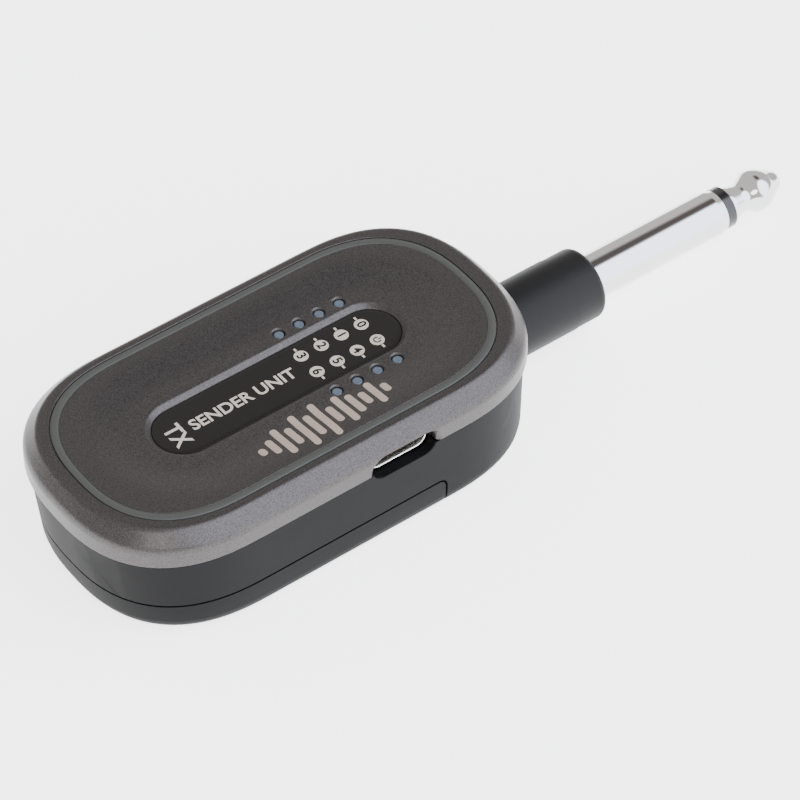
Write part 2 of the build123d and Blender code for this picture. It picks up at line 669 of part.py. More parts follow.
def make_button(name):
    """Round-ended cap with an inner flange that keeps it in the wall."""
    x = BUTTON_X[name]
    start_y = BUTTON_FLANGE_Y
    cap = side_slot(x, BUTTON_Z, BUTTON_SIZE, start_y, LOWER_HALF_WIDTH + BUTTON_PROUD)
    cap = fillet(cap.edges().group_by(Axis.Y)[-1], BUTTON_FILLET)
    flange = side_slot(x, BUTTON_Z, BUTTON_FLANGE, start_y, start_y + BUTTON_FLANGE_THICKNESS)
    return cap + flange


def make_battery():
    pouch = block(BATTERY_X, BATTERY_Y, BATTERY_Z)
    pouch = fillet(pouch.edges().filter_by(Axis.X), BATTERY_FILLET)
    length, tab_y, tab_z = BATTERY_TAB
    return pouch + block((BATTERY_X[1], BATTERY_X[1] + length), tab_y, tab_z)


def make_battery_connector():
    return block(CONNECTOR_X, CONNECTOR_Y, (BOARD_Z - CONNECTOR_HEIGHT, BOARD_Z))


def make_battery_leads():
    """Two insulated leads from the pouch's protection board up to the connector."""
    leads = []
    length, tab_y, tab_z = BATTERY_TAB
    start_z = sum(tab_z) / 2
    for offset in (-BATTERY_LEAD_HALF_PITCH, BATTERY_LEAD_HALF_PITCH):
        x = BATTERY_LEAD_X + offset
        y = 10.4 + offset
        up_y = sum(CONNECTOR_Y) / 2
        leads.append(lead([(BATTERY_X[1] + length, y, start_z), (x, y, start_z), (x, up_y, start_z + 2),
                           (x, up_y, BOARD_Z - CONNECTOR_HEIGHT)], BATTERY_LEAD_RADIUS, 0.9))
    return Compound(children=leads)


def make_battery_foam():
    return block(FOAM_X, FOAM_Y, (BATTERY_Z[1], BATTERY_Z[1] + FOAM_THICKNESS))


def build_nodes():
    nodes = {
        "top_shell": make_top_shell(),
        "face_stripe": make_face_stripe(),
        "badge_plate": make_badge_plate(),
        "light_pipes_far": make_light_pipes(1),
        "light_pipes_near": make_light_pipes(-1),
        "mid_housing": make_mid_housing(),
        "bottom_cover": make_bottom_cover(),
        "case_screws": make_case_screws(),
        "main_board": make_main_board(),
        "usb_shell": make_usb_shell(),
        "usb_tongue": make_usb_tongue(),
        "usb_contacts": make_usb_contacts(),
        "status_leds": make_status_leds(),
        "rf_shield": make_rf_shield(),
        "side_switches": make_side_switches(),
        "battery": make_battery(),
        "battery_foam": make_battery_foam(),
        "battery_leads": make_battery_leads(),
        "battery_connector": make_battery_connector(),
        "hinge_pin_near": make_hinge_pin(-1, False),
        "hinge_pin_far": make_hinge_pin(1, True),
        "friction_washers": make_friction_washers(),
        "board_lead": make_board_lead(),
        "plug_arm": make_plug_arm(),
        "plug_collar": make_plug_collar(),
        "plug_sleeve": make_plug_sleeve(),
        "plug_insulator": make_plug_insulator(),
        "plug_tip": make_plug_tip(),
        "plug_lugs": make_plug_lugs(),
        "plug_lead": make_plug_lead(),
    }
    for name, place in CHIPS.items():
        nodes[name] = chip(*place)
    for name in BUTTON_X:
        nodes[name] = make_button(name)
    return nodes


os.makedirs("parts", exist_ok=True)
for node_name, solid in build_nodes().items():
    export_step(Pos(-SHOULDER_X, 0, 0) * solid, f"parts/{node_name}.step")
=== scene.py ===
"""Looks of a wireless guitar transmitter: metallic painted shell over a matt black body, chrome plug."""
import bmesh
import bpy
from math import copysign, cos, pi, radians, sin, sqrt
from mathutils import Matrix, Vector
from mathutils.kdtree import KDTree


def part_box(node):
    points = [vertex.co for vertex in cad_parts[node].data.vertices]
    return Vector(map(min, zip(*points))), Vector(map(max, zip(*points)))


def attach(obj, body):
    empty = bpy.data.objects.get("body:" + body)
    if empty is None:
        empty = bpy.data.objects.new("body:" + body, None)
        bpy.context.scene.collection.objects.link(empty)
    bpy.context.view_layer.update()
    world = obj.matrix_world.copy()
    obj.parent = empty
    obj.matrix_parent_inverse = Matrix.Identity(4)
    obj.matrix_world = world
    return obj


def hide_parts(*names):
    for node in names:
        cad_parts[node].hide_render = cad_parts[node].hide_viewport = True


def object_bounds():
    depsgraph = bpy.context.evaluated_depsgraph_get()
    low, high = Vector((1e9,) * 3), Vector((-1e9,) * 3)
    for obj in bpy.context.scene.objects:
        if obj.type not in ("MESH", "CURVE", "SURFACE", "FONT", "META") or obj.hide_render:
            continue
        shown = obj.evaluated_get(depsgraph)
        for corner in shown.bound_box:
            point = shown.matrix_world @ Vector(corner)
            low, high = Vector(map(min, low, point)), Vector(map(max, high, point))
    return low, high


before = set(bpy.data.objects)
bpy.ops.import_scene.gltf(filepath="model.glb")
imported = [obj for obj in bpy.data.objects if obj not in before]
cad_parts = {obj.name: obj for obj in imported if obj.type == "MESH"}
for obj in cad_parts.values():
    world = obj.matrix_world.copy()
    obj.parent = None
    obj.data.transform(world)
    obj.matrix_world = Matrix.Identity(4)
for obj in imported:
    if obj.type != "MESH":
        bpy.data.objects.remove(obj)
cad_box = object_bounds()

MM = 0.001


def node_box(name):
    """Lowest and highest corner of a CAD node, in millimetres."""
    low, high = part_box(name)
    return low / MM, high / MM


# Sizes in millimetres, worked out from the frame. The body's middle lies behind the plug's shoulder,
# and the outlines count x from that middle.
SHELL_LOW, SHELL_HIGH = node_box("top_shell")
BODY_X = (SHELL_LOW.x + SHELL_HIGH.x) / 2
HALF_LENGTH = (SHELL_HIGH.x - SHELL_LOW.x) / 2
HALF_WIDTH = (SHELL_HIGH.y - SHELL_LOW.y) / 2
FACE_Z = SHELL_HIGH.z
UNDER_Z = node_box("mid_housing")[0].z
ON_LEVEL = 0.01

# Plan outline: straight sides, and ends that follow a superellipse of this run and power.
END_RUN = 18.3
END_POWER = 2.5
END_POINTS = 40
SIDE_POINTS = 8

# Lower housing: its outline's half length, half width and shift at the seam and at the base.
SEAM_Z = FACE_Z - 5.37
SEAM_LEVEL = Vector((33.1, 17.3, 0.05))
UNDER_LEVEL = Vector((32.3, 17.2, 0.6))
UNDER_RADIUS = 2.5
RUN_LOST_TO_INSET = 0.8
OUTER_WALL_FROM, OUTER_WALL_TO = 0.982, 1.02

# Light pipes: four pins on a bar, in a row each side of the badge.
PIPE_LOW, PIPE_HIGH = node_box("light_pipes_far")
PIPE_BAR_HALF_LENGTH = 6.0
PIPE_BAR_HALF_WIDTH = 1.0
PIPE_BAR_TOP_Z = PIPE_LOW.z + 0.8
PIPE_END_X = 1.3
LIGHT_X = PIPE_LOW.x + PIPE_END_X - BODY_X
LIGHT_PITCH = (PIPE_HIGH.x - PIPE_LOW.x - 2 * PIPE_END_X) / 3
LIGHT_ROW_Y = (PIPE_HIGH.y + PIPE_LOW.y) / 2
LIGHT_ROW_X = LIGHT_X + 1.5 * LIGHT_PITCH
PIN_CROWN = ((0.68, 0.12), (0.62, 0.06), (0.5, 0.02), (0.3, 0.005))
PIN_ROOT = 0.1
PIN_POINTS = 32

# Top shell: wall, skirt, chamfer and the valley in its face.
WALL = 1.6
ROOF_Z = PIPE_BAR_TOP_Z + 0.1
ROOF_MIDDLE = (20.0, 5.0)
SKIRT_TOP_Z = FACE_Z - 2.15
SHELL_EDGE_Z = FACE_Z - 4.95
SHELL_EDGE_BREAK = 0.12
FACE_INSET = 1.75
CHAMFER_EASE = 0.75
SIDE_SHARE = 1.057
DISH_DEPTH = 0.7
DISH_MOUTH = (27.0, 12.8)
DISH_RUN = 5.9
DISH_STEPS = 9
HOLE_RADIUS = 0.75
HOLE_FLARE = 0.36
HOLE_FLARE_DEPTH = 0.42
HOLE_POINTS = 40
DRILL_PAST_ROOF = 0.4
DRILL_PAST_FACE = 0.3

# Stripe, and the groove that it sits in.
STRIPE_LOW, STRIPE_HIGH = node_box("face_stripe")
STRIPE_HALF_LENGTH = (STRIPE_HIGH.x - STRIPE_LOW.x) / 2
STRIPE_HALF_WIDTH = (STRIPE_HIGH.y - STRIPE_LOW.y) / 2
STRIPE_SHIFT = (STRIPE_HIGH.x + STRIPE_LOW.x) / 2 - BODY_X
STRIPE_RUN = 15.5
STRIPE_WIDTH = 1.0
STRIPE_GAP = 0.14
STRIPE_DROP = 0.02
STRIPE_BREAK = 0.04
GROOVE_DEPTH = 0.3
GROOVE_BREAK_OUTER = 0.05
GROOVE_BREAK_INNER = 0.03

# Badge, and the pocket round it.
BADGE_LOW, BADGE_HIGH = node_box("badge_plate")
BADGE_HALF_WIDTH = (BADGE_HIGH.y - BADGE_LOW.y) / 2
BADGE_STRAIGHT = (BADGE_HIGH.x - BADGE_LOW.x) / 2 - BADGE_HALF_WIDTH
BADGE_TOP_Z = BADGE_HIGH.z
BADGE_SEAT_Z = BADGE_LOW.z
BADGE_LAND = 0.6
BADGE_EASE = 0.07
POCKET_GAP = 0.06
POCKET_FLARE = 0.78
POCKET_LAND = 0.5
POCKET_EASE = 0.3

# Charging socket: its flared mouth is given as more width and depth from the side wall.
USB_LOW, USB_HIGH = node_box("usb_shell")
USB_X = (USB_LOW.x + USB_HIGH.x) / 2 - BODY_X
USB_Z = (USB_LOW.z + USB_HIGH.z) / 2
USB_THROAT = (USB_HIGH.x - USB_LOW.x + 0.92, USB_HIGH.z - USB_LOW.z + 0.74)
USB_MOUTH = ((1.7, -1.0), (1.7, -0.3), (0.9, 0.12), (0.35, 0.34), (0.0, 0.6), (0.0, 3.4))
USB_MOUTH_RISE = 0.6
USB_RIM_RADIUS = 0.13

# Print. Only the plain word reads along x. The power symbol's sizes are shares of its radius: where the
# gap starts, the ring's inner edge, and the bar's place, length and width.
INK = 0.02
BADGE_PRINT_Z = BADGE_TOP_Z + 0.005
FIGURE_Z = BADGE_PRINT_Z + INK
FAR_NUMBERS = "3210"
NEAR_NUMBERS = "654"
FIGURE_HEIGHT = 1.25
FIGURE_TURN = -90.0
FIGURE_SHIFT = 0.2
DISC_RADIUS = 0.95
DISC_ROW_Y = 1.7
TICK_ROW_Y = DISC_ROW_Y + 1.32
TICK_SIZE = (0.3, 0.5)
POWER_RADIUS = 0.52
POWER_GAP_FROM = 0.8
POWER_INNER = 0.68
POWER_BAR = (0.75, 0.9, 0.3)
WORD_PLACE = (-5.4, -0.1)
WORD_HEIGHT, WORD_WIDTH = 1.75, 15.8
LABEL_PLACE = (-15.6, -0.3)
LABEL_HEIGHT, LABEL_WIDTH = 2.3, 3.9
CAPITAL_SHARE = 0.7
STROKE_GAIN = 0.03

# Wave mark: the bars' heights, and how they are laid and cut to follow the valley.
WAVE_HEIGHTS = (1.4, 3.0, 5.4, 3.6, 6.6, 4.4, 7.0, 3.4, 5.6, 4.0, 2.6, 4.6, 1.8)
WAVE_PITCH = 1.56
WAVE_PLACE = (0.2, -9.7)
WAVE_BAR_WIDTH = 0.98
WAVE_BAR_ROUNDING = 0.45
WAVE_REACH = 4.0
WAVE_CUTS = 24
WAVE_START_Z = FACE_Z + 0.5
WAVE_LIFT = 0.003

# Shading angles, in degrees: faces that meet more sharply keep their edge.
MOULDING_ANGLE = 28.0
SHELL_ANGLE = 32.0
PRINT_ANGLE = 30.0
BADGE_ANGLE = 40.0
INSERT_ANGLE = 50.0

# Studio, in metres and degrees, apart from the point that the camera looks at.
FLOOR_SIZE = 6.0
FLOOR_DROP = 0.00005
FLOOR_GLOW = 2.9
SOFTBOX_PLACE = Vector((-0.52, -0.48, 0.42))
SOFTBOX_AIM = Vector((-0.05, 0.0, 0.0))
SOFTBOX_SIZE = (0.34, 0.26)
SOFTBOX_POWER = 1.5
SOFTBOX_COLOUR = (1.0, 0.98, 0.96)
SKY_PALE = (1.0, 0.96, 0.92)
SENSOR_WIDTH = 36.0
LENS = 180.3
DISTANCE = 0.5
AZIMUTH, ELEVATION = radians(-36.81), radians(46.04)
AIM = Vector((BODY_X + 10.706, -11.157, FACE_Z - 2.242)) * MM


# ------------------------------------------------------------------ shader maths

class Value:
    """A number in a material that varies over the surface; Python's operators add its Math nodes."""

    def __init__(self, finish, socket):
        self.finish = finish
        self.socket = socket

    def maths(self, operation, first, second):
        return self.finish.node("ShaderNodeMath", {"operation": operation}, {0: first, 1: second})

    def __add__(self, other):
        return self.maths("ADD", self, other)

    def __sub__(self, other):
        return self.maths("SUBTRACT", self, other)

    def __mul__(self, other):
        return self.maths("MULTIPLY", self, other)

    def __truediv__(self, other):
        return self.maths("DIVIDE", self, other)

    def __rsub__(self, other):
        return self.maths("SUBTRACT", other, self)

    def __rtruediv__(self, other):
        return self.maths("DIVIDE", other, self)

    __radd__ = __add__
    __rmul__ = __mul__

    def above(self, edge):
        return self.maths("GREATER_THAN", self, edge)

    def kept_between(self, low, high):
        return self.maths("MINIMUM", self.maths("MAXIMUM", self, low), high)


class Graph:
    """A node tree, whose nodes are all added by node()."""

    def __init__(self, owner, coordinates):
        owner.use_nodes = True
        self.tree = owner.node_tree
        self.place = self.node("ShaderNodeTexCoord", output=coordinates)

    def node(self, kind, settings=None, values=None, output=0):
        added = self.tree.nodes.new(kind)
        for key, setting in (settings or {}).items():
            setattr(added, key, setting)
        for key, value in (values or {}).items():
            self.feed(added.inputs[key], value)
        return Value(self, added.outputs[output])

    def feed(self, socket, value):
        if isinstance(value, Value):
            self.tree.links.new(value.socket, socket)
        else:
            socket.default_value = value

    def noise(self, scale, detail, place=None):
        """Noise between 0 and 1; scale is in features per metre."""
        values = {"Vector": place or self.place, "Scale": scale, "Detail": detail}
        return self.node("ShaderNodeTexNoise", {}, values)

    def stretched(self, scale):
        """Object coordinates scaled for scratches and brushed grain."""
        return self.node("ShaderNodeMapping", {}, {"Vector": self.place, "Scale": scale})

    def colours(self, factor, first, second):
        """A mix from the first colour, at a factor of 0, to the second, at 1."""
        ends = [end if isinstance(end, Value) else (*end, 1.0) for end in (first, second)]
        values = {"Factor": factor, 6: ends[0], 7: ends[1]}
        return self.node("ShaderNodeMix", {"data_type": "RGBA"}, values, output=2)

    def bumps(self, height, depth, strength):
        values = {"Strength": strength, "Distance": depth, "Height": height}
        return self.node("ShaderNodeBump", {}, values)


class Finish(Graph):
    """One material on Object coordinates; surface() sets its shader's sockets by name."""

    def __init__(self, name):
        self.material = bpy.data.materials.new(name)
        super().__init__(self.material, "Object")
        self.shader = self.tree.nodes["Principled BSDF"]

    def surface(self, values):
        for key, value in values.items():
            self.feed(self.shader.inputs[key], value)
        return self.material


# ------------------------------------------------------------------ finishes

def scaled(colour, share):
    return tuple(channel * share for channel in colour)


def metallic_paint():
    """Dark gunmetal paint: fine aluminium flake in a warm grey, under a thin satin lacquer."""
    paint = Finish("gunmetal_paint")
    flake = paint.noise(6500.0, 1.0)
    cloud = paint.noise(140.0, 3.0)
    glint = ((flake - 0.5) * 2.0 + 0.5).kept_between(0.0, 1.0)
    colour = paint.colours(glint, (0.034, 0.0305, 0.0295), (0.086, 0.080, 0.079))
    return paint.surface({
        "Base Color": colour, "Metallic": 0.72, "Normal": paint.bumps(flake, 0.000004, 0.35),
        "Roughness": 0.36 + (cloud - 0.5) * 0.06 + (flake - 0.5) * 0.10})


def moulded_black(name, colour=(0.0032, 0.0032, 0.0033), roughness=0.52, grain=6500.0, shine=0.08):
    """Spark-eroded matt plastic with a fine even grain and faint handling marks."""
    plastic = Finish(name)
    pits = plastic.noise(grain, 2.0)
    wear = plastic.noise(90.0, 4.0)
    shade = plastic.colours(wear, colour, scaled(colour, 1.35))
    return plastic.surface({
        "Base Color": shade, "Specular IOR Level": shine, "Normal": plastic.bumps(pits, 0.000006, 0.5),
        "Roughness": roughness + (wear - 0.5) * 0.10 + (pits - 0.5) * 0.08})


def gloss_plastic(name, colour, roughness, shine=0.5):
    """Polished plastic with a faint haze."""
    gloss = Finish(name)
    haze = gloss.noise(60.0, 3.0)
    shade = gloss.colours(haze, colour, scaled(colour, 1.2))
    return gloss.surface({
        "Base Color": shade, "Specular IOR Level": shine, "Roughness": roughness + (haze - 0.5) * 0.05})


def printed_ink(name, colour, roughness, metallic=0.0):
    """Screen-printed ink: slightly uneven, with the mesh's fine dots."""
    ink = Finish(name)
    dots = ink.noise(5000.0, 1.0)
    shade = ink.colours(dots, scaled(colour, 0.88), colour)
    return ink.surface({
        "Base Color": shade, "Metallic": metallic, "Roughness": roughness + (dots - 0.5) * 0.1})


def turned_metal(name, colour, roughness):
    """Plated or drawn metal with faint lines along the piece."""
    metal = Finish(name)
    lines = metal.noise(1.0, 2.0, metal.stretched((40.0, 4000.0, 4000.0)))
    smudge = metal.noise(120.0, 3.0)
    shade = metal.colours(smudge, scaled(colour, 0.93), colour)
    return metal.surface({
        "Base Color": shade, "Metallic": 1.0,
        "Roughness": roughness + (lines - 0.5) * 0.05 + (smudge - 0.5) * 0.04})


def light_pipe_acrylic():
    """Frosted blue-grey acrylic, lit by nothing behind it."""
    acrylic = Finish("light_pipe_acrylic")
    frost = acrylic.noise(3000.0, 2.0)
    shade = acrylic.colours(frost, (0.06, 0.075, 0.10), (0.10, 0.125, 0.16))
    return acrylic.surface({"Base Color": shade, "Roughness": 0.22 + (frost - 0.5) * 0.1})


def circuit_board():
    """Green solder mask over copper traces that run in blocks."""
    board = Finish("solder_mask")
    traces = board.node("ShaderNodeTexVoronoi", {"feature": "DISTANCE_TO_EDGE"},
                        {"Vector": board.place, "Scale": 900.0})
    copper = traces.above(0.06)
    shade = board.colours(copper, (0.03, 0.17, 0.07), (0.008, 0.075, 0.03))
    return board.surface({
        "Base Color": shade, "Roughness": 0.3, "Normal": board.bumps(copper, 0.00002, 0.3)})


def laminate_pouch():
    """Crinkled aluminium laminate of a pouch cell."""
    pouch = Finish("pouch_laminate")
    creases = pouch.noise(700.0, 4.0)
    shade = pouch.colours(creases, (0.50, 0.51, 0.53), (0.68, 0.69, 0.71))
    return pouch.surface({
        "Base Color": shade, "Metallic": 0.85, "Roughness": 0.32 + (creases - 0.5) * 0.2,
        "Normal": pouch.bumps(creases, 0.00008, 0.5)})


def open_foam():
    """Dark foam with open cells."""
    foam = Finish("open_cell_foam")
    cells = foam.node("ShaderNodeTexVoronoi", {}, {"Vector": foam.place, "Scale": 2200.0})
    shade = foam.colours(cells, (0.012, 0.012, 0.012), (0.05, 0.05, 0.052))
    return foam.surface({"Base Color": shade, "Roughness": 0.9, "Normal": foam.bumps(cells, 0.0002, 0.8)})


FINISHES = {
    "paint": metallic_paint(),
    "housing": moulded_black("matt_black_moulding"),
    "button": moulded_black("button_moulding", (0.026, 0.026, 0.028), 0.45),
    "collar": moulded_black("collar_moulding", (0.009, 0.009, 0.009), 0.5, 4000.0, 0.15),
    "chip": moulded_black("epoxy_package", (0.015, 0.015, 0.016), 0.6),
    "badge": gloss_plastic("gloss_black_badge", (0.010, 0.009, 0.008), 0.2, 0.2),
    "insulator": gloss_plastic("black_insulator", (0.010, 0.010, 0.010), 0.2),
    "stripe": printed_ink("grey_green_stripe", (0.046, 0.049, 0.044), 0.45),
    "cream": printed_ink("cream_ink", (0.50, 0.44, 0.375), 0.5),
    "champagne": printed_ink("champagne_foil", (0.42, 0.34, 0.285), 0.4, 0.3),
    "chrome": turned_metal("bright_chrome", (0.66, 0.66, 0.67), 0.08),
    "steel": turned_metal("drawn_steel", (0.60, 0.60, 0.61), 0.24),
    "bright_steel": turned_metal("tinned_steel", (0.90, 0.88, 0.84), 0.22),
    "black_steel": turned_metal("black_zinc", (0.05, 0.05, 0.05), 0.4),
    "gold": turned_metal("gold_plate", (0.83, 0.61, 0.28), 0.22),
    "acrylic": light_pipe_acrylic(),
    "board": circuit_board(),
    "pouch": laminate_pouch(),
    "foam": open_foam(),
    "ceramic": gloss_plastic("antenna_ceramic", (0.72, 0.70, 0.66), 0.35),
    "nylon": gloss_plastic("natural_nylon", (0.62, 0.59, 0.50), 0.4),
    "lens": gloss_plastic("led_lens", (0.62, 0.58, 0.36), 0.2),
    "cable": gloss_plastic("lead_insulation", (0.03, 0.03, 0.03), 0.45),
}

NODE_FINISH = {
    "top_shell": "paint", "face_stripe": "stripe", "badge_plate": "badge", "light_pipes_far": "acrylic",
    "light_pipes_near": "acrylic", "mid_housing": "housing", "bottom_cover": "housing",
    "case_screws": "black_steel", "main_board": "board", "usb_shell": "steel", "usb_tongue": "chip",
    "usb_contacts": "gold", "status_leds": "lens", "rf_shield": "steel", "radio_chip": "chip",
    "audio_chip": "chip", "charger_chip": "chip", "chip_antenna": "ceramic", "side_switches": "chip",
    "battery": "pouch", "battery_foam": "foam", "battery_leads": "cable", "battery_connector": "nylon",
    "hinge_pin_near": "steel", "hinge_pin_far": "steel", "friction_washers": "steel",
    "board_lead": "cable", "plug_arm": "collar", "plug_collar": "collar", "plug_sleeve": "chrome",
    "plug_insulator": "insulator", "plug_tip": "chrome", "plug_lugs": "gold", "plug_lead": "cable",
    "power_button": "button", "channel_button": "button",
}


def dress(piece, finish):
    piece.data.materials.clear()
    piece.data.materials.append(FINISHES[finish])


for node_name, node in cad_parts.items():
    dress(node, NODE_FINISH[node_name])


# ------------------------------------------------------------------ modelling helpers

def deselect_all():
    if bpy.context.object and bpy.context.object.mode != "OBJECT":
        bpy.ops.object.mode_set(mode="OBJECT")
    bpy.ops.object.select_all(action="DESELECT")


def take_up(piece):
    """Selects a piece alone and makes it the active one."""
    deselect_all()
    piece.select_set(True)
    bpy.context.view_layer.objects.active = piece


def settle(piece, name, body, finish, angle, *replaced):
    """Leaves a finished piece at the origin, smooth where it is round, with its finish and body."""
    take_up(piece)
    piece.name = name
    piece.data.name = name
    bpy.ops.object.transform_apply(location=True, rotation=True, scale=True)
    bpy.ops.object.shade_smooth_by_angle(angle=radians(angle))
    dress(piece, finish)
    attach(piece, body)
    if replaced:
        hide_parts(*replaced)
    return piece


def even_shading(piece):
    """Lets the large faces set the shading next to small round ones."""
    take_up(piece)
    weigh = piece.modifiers.new("even_shading", "WEIGHTED_NORMAL")
    weigh.keep_sharp = True
    bpy.ops.object.modifier_apply(modifier=weigh.name)


def spread(piece, places):
    """One piece at each place, in millimetres from where it was made, each with its own mesh."""
    pieces = [piece]
    for _ in places[1:]:
        twin = piece.copy()
        twin.data = piece.data.copy()
        bpy.context.scene.collection.objects.link(twin)
        pieces.append(twin)
    for placed, (x, y) in zip(pieces, places):
        placed.location += Vector((x, y, 0.0)) * MM
    bpy.context.view_layer.update()
    return pieces


def cut(piece, cutters):
    """Takes the cutters' shape out of the piece, then deletes them."""
    for cutter in cutters:
        take_up(piece)
        saw = piece.modifiers.new("cut", "BOOLEAN")
        saw.operation = "DIFFERENCE"
        saw.solver = "EXACT"
        saw.object = cutter
        bpy.ops.object.modifier_apply(modifier=saw.name)
        bpy.data.objects.remove(cutter)


def joined(pieces):
    take_up(pieces[0])
    for piece in pieces:
        piece.select_set(True)
    bpy.ops.object.join()
    return pieces[0]


# ------------------------------------------------------------------ mouldings kept from the frame

def merged_copy(node_name):
    """A copy of a CAD moulding with its loose triangles joined up, and none of the frame's marks."""
    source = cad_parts[node_name]
    piece = source.copy()
    piece.data = source.data.copy()
    for key in list(piece.keys()):
        del piece[key]
    piece.parent = None
    bpy.context.scene.collection.objects.link(piece)
    take_up(piece)
    bpy.ops.object.mode_set(mode="EDIT")
    bpy.ops.mesh.select_all(action="SELECT")
    bpy.ops.mesh.remove_doubles(threshold=0.002 * MM)
    bpy.ops.mesh.customdata_custom_splitnormals_clear()
    bpy.ops.object.mode_set(mode="OBJECT")
    return piece


def trued_ends(piece):
    """Brings the outer wall's round ends on to the outline's formula, level by level."""
    for vertex in piece.data.vertices:
        x, y, z = vertex.co / MM
        half_length, half_width, shift = SEAM_LEVEL.lerp(UNDER_LEVEL, (SEAM_Z - z) / (SEAM_Z - UNDER_Z))
        under = max(0.0, min(UNDER_RADIUS, UNDER_RADIUS - (z - UNDER_Z)))
        inset = UNDER_RADIUS - sqrt(UNDER_RADIUS ** 2 - under ** 2)
        run = END_RUN - RUN_LOST_TO_INSET * inset
        straight = half_length - inset - run
        side = x - BODY_X - shift
        along = (abs(side) - straight) / run
        if along > 0.0 and z < SEAM_Z + ON_LEVEL:
            across = abs(y) / (half_width - inset)
            reach = (along ** END_POWER + across ** END_POWER) ** (1 / END_POWER)
            if OUTER_WALL_FROM < reach < OUTER_WALL_TO:
                vertex.co.x = (BODY_X + shift + copysign(straight + along / reach * run, side)) * MM
                vertex.co.y /= reach


def make_lower_mouldings():
    for node_name in ("mid_housing", "bottom_cover"):
        moulding = merged_copy(node_name)
        trued_ends(moulding)
        settle(moulding, "black_" + node_name, "housing", "housing", MOULDING_ANGLE, node_name)
        even_shading(moulding)


def make_usb_shell():
    """The socket's drawn shell with its front rim rounded, so that it catches the light."""
    shell = merged_copy("usb_shell")
    bpy.ops.object.mode_set(mode="EDIT")
    bpy.ops.mesh.select_all(action="DESELECT")
    bpy.ops.mesh.select_mode(type="EDGE")
    mesh = bmesh.from_edit_mesh(shell.data)
    for edge in mesh.edges:
        at_front = all(vertex.co.y < (USB_LOW.y + ON_LEVEL) * MM for vertex in edge.verts)
        if at_front and len(edge.link_faces) == 2 and edge.calc_face_angle() > radians(45.0):
            edge.select = True
    bpy.ops.mesh.bevel(offset=USB_RIM_RADIUS * MM, segments=3, affect="EDGES", clamp_overlap=True)
    bpy.ops.mesh.select_mode(type="VERT")
    bpy.ops.object.mode_set(mode="OBJECT")
    settle(shell, "rounded_usb_shell", "housing", "bright_steel", INSERT_ANGLE, "usb_shell")


PLUG_PIECES = {
    "plug_arm": ("black_plug_arm", "collar"),
    "plug_collar": ("black_plug_collar", "collar"),
    "plug_sleeve": ("chrome_sleeve", "chrome"),
    "plug_insulator": ("black_insulator_ring", "insulator"),
    "plug_tip": ("chrome_tip", "chrome"),
}


def make_plug():
    for node_name, (name, finish) in PLUG_PIECES.items():
        piece = settle(merged_copy(node_name), name, "plug", finish, MOULDING_ANGLE, node_name)
        even_shading(piece)


# ------------------------------------------------------------------ outlines

def oval(half_length, half_width, run, z, power=END_POWER, shift=0.0):
    """Points round a plan outline: straight sides and ends that follow a superellipse."""
    points = []
    reach = half_length - run
    for end in (1, -1):
        for step in range(END_POINTS + 1):
            angle = pi / 2 - pi * step / END_POINTS
            along = abs(cos(angle)) ** (2 / power)
            across = copysign(abs(sin(angle)) ** (2 / power), sin(angle))
            points.append((shift + end * (reach + run * along), end * half_width * across, z))
        for step in range(1, SIDE_POINTS):
            share = 1 - 2 * step / SIDE_POINTS
            points.append((shift + end * reach * share, -end * half_width, z))
    return points


def pill(half_length, half_width, z):
    return oval(half_length, half_width, half_width, z, power=2.0)


def side_pill(x, y, z, width, height):
    """A round-ended slot that stands in the long side wall."""
    return [(x + along, y, z + up) for along, up, _ in pill(width / 2, height / 2, 0.0)]


def circle(radius, z, count):
    turns = [2 * pi * step / count for step in range(count)]
    return [(radius * cos(turn), radius * sin(turn), z) for turn in turns]


def shell_rim(inset, z):
    return oval(HALF_LENGTH - inset, HALF_WIDTH - inset * SIDE_SHARE, END_RUN - inset, z)


def stripe_rim(offset, z):
    """Rim that runs beside the stripe, offset outwards from its outer edge."""
    return oval(STRIPE_HALF_LENGTH + offset, STRIPE_HALF_WIDTH + offset, STRIPE_RUN + offset, z,
                shift=STRIPE_SHIFT)


def badge_rim(half_width, z):
    return pill(half_width + BADGE_STRAIGHT, half_width, z)


def in_frame(point):
    """A point about the body's middle, in millimetres, to the frame's metres."""
    return Vector((BODY_X + point[0], point[1], point[2])) * MM


def eased(corners, reach, steps):
    """A profile whose inner corners are rounded, starting reach before each corner."""
    profile = [corners[0]]
    for before, corner, after in zip(corners, corners[1:], corners[2:]):
        before, corner, after = Vector(before), Vector(corner), Vector(after)
        near = min(reach, (before - corner).length * 0.49, (after - corner).length * 0.49)
        start = corner + (before - corner).normalized() * near
        end = corner + (after - corner).normalized() * near
        for step in range(steps + 1):
            t = step / steps
            point = start * (1 - t) ** 2 + corner * 2 * t * (1 - t) + end * t ** 2
            profile.append(tuple(point))
    profile.append(corners[-1])
    return profile


# ------------------------------------------------------------------ modelling by rims

def place_rim(piece, old, new):
    """Moves the selected rim from its old points to its new ones."""
    finder = KDTree(len(old))
    for index, point in enumerate(old):
        finder.insert(point, index)
    finder.balance()
    mesh = bmesh.from_edit_mesh(piece.data)
    for vertex in mesh.verts:
        if vertex.select:
            vertex.co = new[finder.find(vertex.co)[1]]
    bmesh.update_edit_mesh(piece.data)


